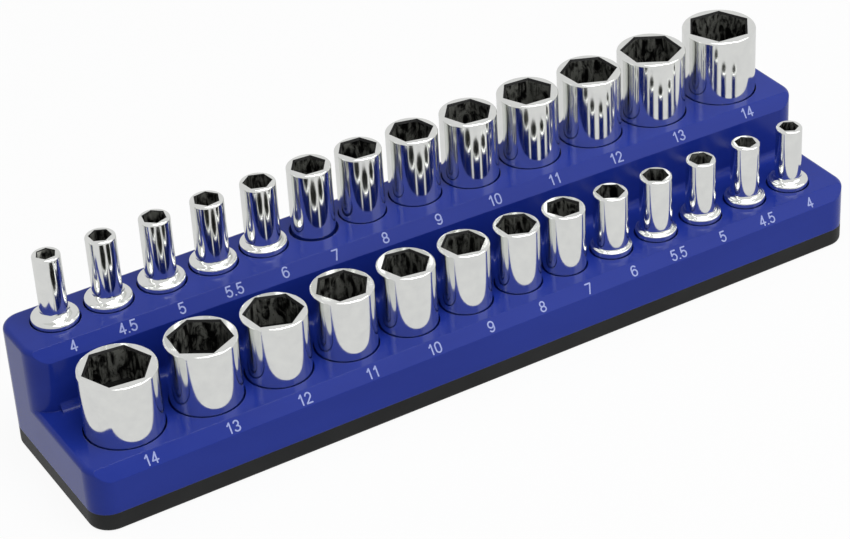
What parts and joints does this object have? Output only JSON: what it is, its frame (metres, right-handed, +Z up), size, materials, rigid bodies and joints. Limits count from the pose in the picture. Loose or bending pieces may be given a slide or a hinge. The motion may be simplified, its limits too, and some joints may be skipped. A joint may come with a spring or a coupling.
{
  "type": "magnetic socket tray",
  "caption": "Two-tier magnetic socket tray with a sloped size strip on each tier, holding a front row of shallow and a rear row of deep sockets that lift off.",
  "frame": {"origin": "middle of the underside of the base", "axes": "+X along the rows to the right as seen from the low front tier, +Y from the front tier to the rear tier, +Z up"},
  "size_m": [0.222, 0.05, 0.053],
  "materials": {
    "tray_plastic": "smooth glossy royal blue",
    "base_plastic": "fine-grained satin black",
    "magnet_nickel": "nickel plated",
    "screw_steel": "zinc plated",
    "socket_chrome": "mirror polished outside, dark inside"
  },
  "bodies": {
    "tray_body": {"tray": "tray_plastic", "base": "base_plastic", "front_row_magnets": "magnet_nickel", "rear_row_magnets": "magnet_nickel", "base_mount_magnets": "magnet_nickel", "base_screws": "screw_steel"},
    "shallow_14mm_body": {"shallow_14mm": "socket_chrome"},
    "shallow_13mm_body": {"shallow_13mm": "socket_chrome"},
    "shallow_12mm_body": {"shallow_12mm": "socket_chrome"},
    "shallow_11mm_body": {"shallow_11mm": "socket_chrome"},
    "shallow_10mm_body": {"shallow_10mm": "socket_chrome"},
    "shallow_9mm_body": {"shallow_9mm": "socket_chrome"},
    "shallow_8mm_body": {"shallow_8mm": "socket_chrome"},
    "shallow_7mm_body": {"shallow_7mm": "socket_chrome"},
    "shallow_6mm_body": {"shallow_6mm": "socket_chrome"},
    "shallow_5_5mm_body": {"shallow_5_5mm": "socket_chrome"},
    "shallow_5mm_body": {"shallow_5mm": "socket_chrome"},
    "shallow_4_5mm_body": {"shallow_4_5mm": "socket_chrome"},
    "shallow_4mm_body": {"shallow_4mm": "socket_chrome"},
    "deep_14mm_body": {"deep_14mm": "socket_chrome"},
    "deep_13mm_body": {"deep_13mm": "socket_chrome"},
    "deep_12mm_body": {"deep_12mm": "socket_chrome"},
    "deep_11mm_body": {"deep_11mm": "socket_chrome"},
    "deep_10mm_body": {"deep_10mm": "socket_chrome"},
    "deep_9mm_body": {"deep_9mm": "socket_chrome"},
    "deep_8mm_body": {"deep_8mm": "socket_chrome"},
    "deep_7mm_body": {"deep_7mm": "socket_chrome"},
    "deep_6mm_body": {"deep_6mm": "socket_chrome"},
    "deep_5_5mm_body": {"deep_5_5mm": "socket_chrome"},
    "deep_5mm_body": {"deep_5mm": "socket_chrome"},
    "deep_4_5mm_body": {"deep_4_5mm": "socket_chrome"},
    "deep_4mm_body": {"deep_4mm": "socket_chrome"}
  },
  "joints": [
    {"name": "shallow_14mm_lift", "type": "slide", "parent": "tray_body", "child": "shallow_14mm_body", "axis": [0, 0, 1], "range_m": [0, 0.023]},
    {"name": "shallow_13mm_lift", "type": "slide", "parent": "tray_body", "child": "shallow_13mm_body", "axis": [0, 0, 1], "range_m": [0, 0.023]},
    {"name": "shallow_12mm_lift", "type": "slide", "parent": "tray_body", "child": "shallow_12mm_body", "axis": [0, 0, 1], "range_m": [0, 0.023]},
    {"name": "shallow_11mm_lift", "type": "slide", "parent": "tray_body", "child": "shallow_11mm_body", "axis": [0, 0, 1], "range_m": [0, 0.023]},
    {"name": "shallow_10mm_lift", "type": "slide", "parent": "tray_body", "child": "shallow_10mm_body", "axis": [0, 0, 1], "range_m": [0, 0.023]},
    {"name": "shallow_9mm_lift", "type": "slide", "parent": "tray_body", "child": "shallow_9mm_body", "axis": [0, 0, 1], "range_m": [0, 0.023]},
    {"name": "shallow_8mm_lift", "type": "slide", "parent": "tray_body", "child": "shallow_8mm_body", "axis": [0, 0, 1], "range_m": [0, 0.023]},
    {"name": "shallow_7mm_lift", "type": "slide", "parent": "tray_body", "child": "shallow_7mm_body", "axis": [0, 0, 1], "range_m": [0, 0.023]},
    {"name": "shallow_6mm_lift", "type": "slide", "parent": "tray_body", "child": "shallow_6mm_body", "axis": [0, 0, 1], "range_m": [0, 0.023]},
    {"name": "shallow_5_5mm_lift", "type": "slide", "parent": "tray_body", "child": "shallow_5_5mm_body", "axis": [0, 0, 1], "range_m": [0, 0.023]},
    {"name": "shallow_5mm_lift", "type": "slide", "parent": "tray_body", "child": "shallow_5mm_body", "axis": [0, 0, 1], "range_m": [0, 0.023]},
    {"name": "shallow_4_5mm_lift", "type": "slide", "parent": "tray_body", "child": "shallow_4_5mm_body", "axis": [0, 0, 1], "range_m": [0, 0.023]},
    {"name": "shallow_4mm_lift", "type": "slide", "parent": "tray_body", "child": "shallow_4mm_body", "axis": [0, 0, 1], "range_m": [0, 0.023]},
    {"name": "deep_14mm_lift", "type": "slide", "parent": "tray_body", "child": "deep_14mm_body", "axis": [0, 0, 1], "range_m": [0, 0.0465]},
    {"name": "deep_13mm_lift", "type": "slide", "parent": "tray_body", "child": "deep_13mm_body", "axis": [0, 0, 1], "range_m": [0, 0.0465]},
    {"name": "deep_12mm_lift", "type": "slide", "parent": "tray_body", "child": "deep_12mm_body", "axis": [0, 0, 1], "range_m": [0, 0.0465]},
    {"name": "deep_11mm_lift", "type": "slide", "parent": "tray_body", "child": "deep_11mm_body", "axis": [0, 0, 1], "range_m": [0, 0.0465]},
    {"name": "deep_10mm_lift", "type": "slide", "parent": "tray_body", "child": "deep_10mm_body", "axis": [0, 0, 1], "range_m": [0, 0.0465]},
    {"name": "deep_9mm_lift", "type": "slide", "parent": "tray_body", "child": "deep_9mm_body", "axis": [0, 0, 1], "range_m": [0, 0.0465]},
    {"name": "deep_8mm_lift", "type": "slide", "parent": "tray_body", "child": "deep_8mm_body", "axis": [0, 0, 1], "range_m": [0, 0.0465]},
    {"name": "deep_7mm_lift", "type": "slide", "parent": "tray_body", "child": "deep_7mm_body", "axis": [0, 0, 1], "range_m": [0, 0.0465]},
    {"name": "deep_6mm_lift", "type": "slide", "parent": "tray_body", "child": "deep_6mm_body", "axis": [0, 0, 1], "range_m": [0, 0.0465]},
    {"name": "deep_5_5mm_lift", "type": "slide", "parent": "tray_body", "child": "deep_5_5mm_body", "axis": [0, 0, 1], "range_m": [0, 0.0465]},
    {"name": "deep_5mm_lift", "type": "slide", "parent": "tray_body", "child": "deep_5mm_body", "axis": [0, 0, 1], "range_m": [0, 0.0465]},
    {"name": "deep_4_5mm_lift", "type": "slide", "parent": "tray_body", "child": "deep_4_5mm_body", "axis": [0, 0, 1], "range_m": [0, 0.0465]},
    {"name": "deep_4mm_lift", "type": "slide", "parent": "tray_body", "child": "deep_4mm_body", "axis": [0, 0, 1], "range_m": [0, 0.0465]}
  ]
}
